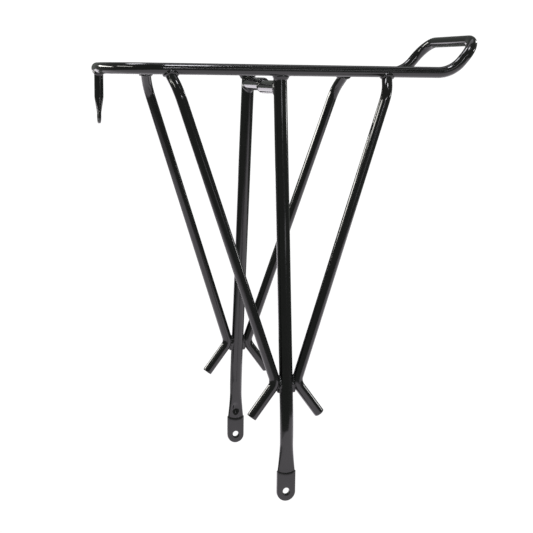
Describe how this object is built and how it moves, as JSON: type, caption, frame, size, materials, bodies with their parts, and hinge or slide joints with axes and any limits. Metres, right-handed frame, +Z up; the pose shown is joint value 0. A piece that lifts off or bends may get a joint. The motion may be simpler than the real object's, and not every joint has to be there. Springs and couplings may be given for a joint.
{
  "type": "bicycle rear rack",
  "caption": "Black welded tubular rear rack for a bicycle: open deck loop with raised rear hoop, flattened legs, diagonal stays with stubs and a front fixing tongue.",
  "frame": {"origin": "midway between the bolt holes of the two feet, on their common axis", "axes": "+X to the back of the bicycle, +Y to the bicycle's right side, +Z up, square to the deck rails"},
  "size_m": [0.3706, 0.1976, 0.4413],
  "materials": {
    "tubes": "gloss",
    "welds": "gloss"
  },
  "bodies": {
    "root": {"deck_loop": "tubes", "strut_left": "tubes", "strut_right": "tubes", "stay_front_left": "tubes", "stay_front_right": "tubes", "stay_rear_left": "tubes", "stay_rear_right": "tubes", "bridge_tube_left": "tubes", "bridge_tube_right": "tubes", "front_tongue": "tubes", "weld_bridge_centre": "welds", "weld_strut_left_top": "welds", "weld_bridge_left": "welds", "weld_strut_right_top": "welds", "weld_bridge_right": "welds", "weld_stay_front_left_top": "welds", "weld_stay_front_left_strut": "welds", "weld_stay_front_right_top": "welds", "weld_stay_front_right_strut": "welds", "weld_stay_rear_left_top": "welds", "weld_stay_rear_left_strut": "welds", "weld_stay_rear_right_top": "welds", "weld_stay_rear_right_strut": "welds", "weld_tongue": "welds"}
  },
  "joints": []
}
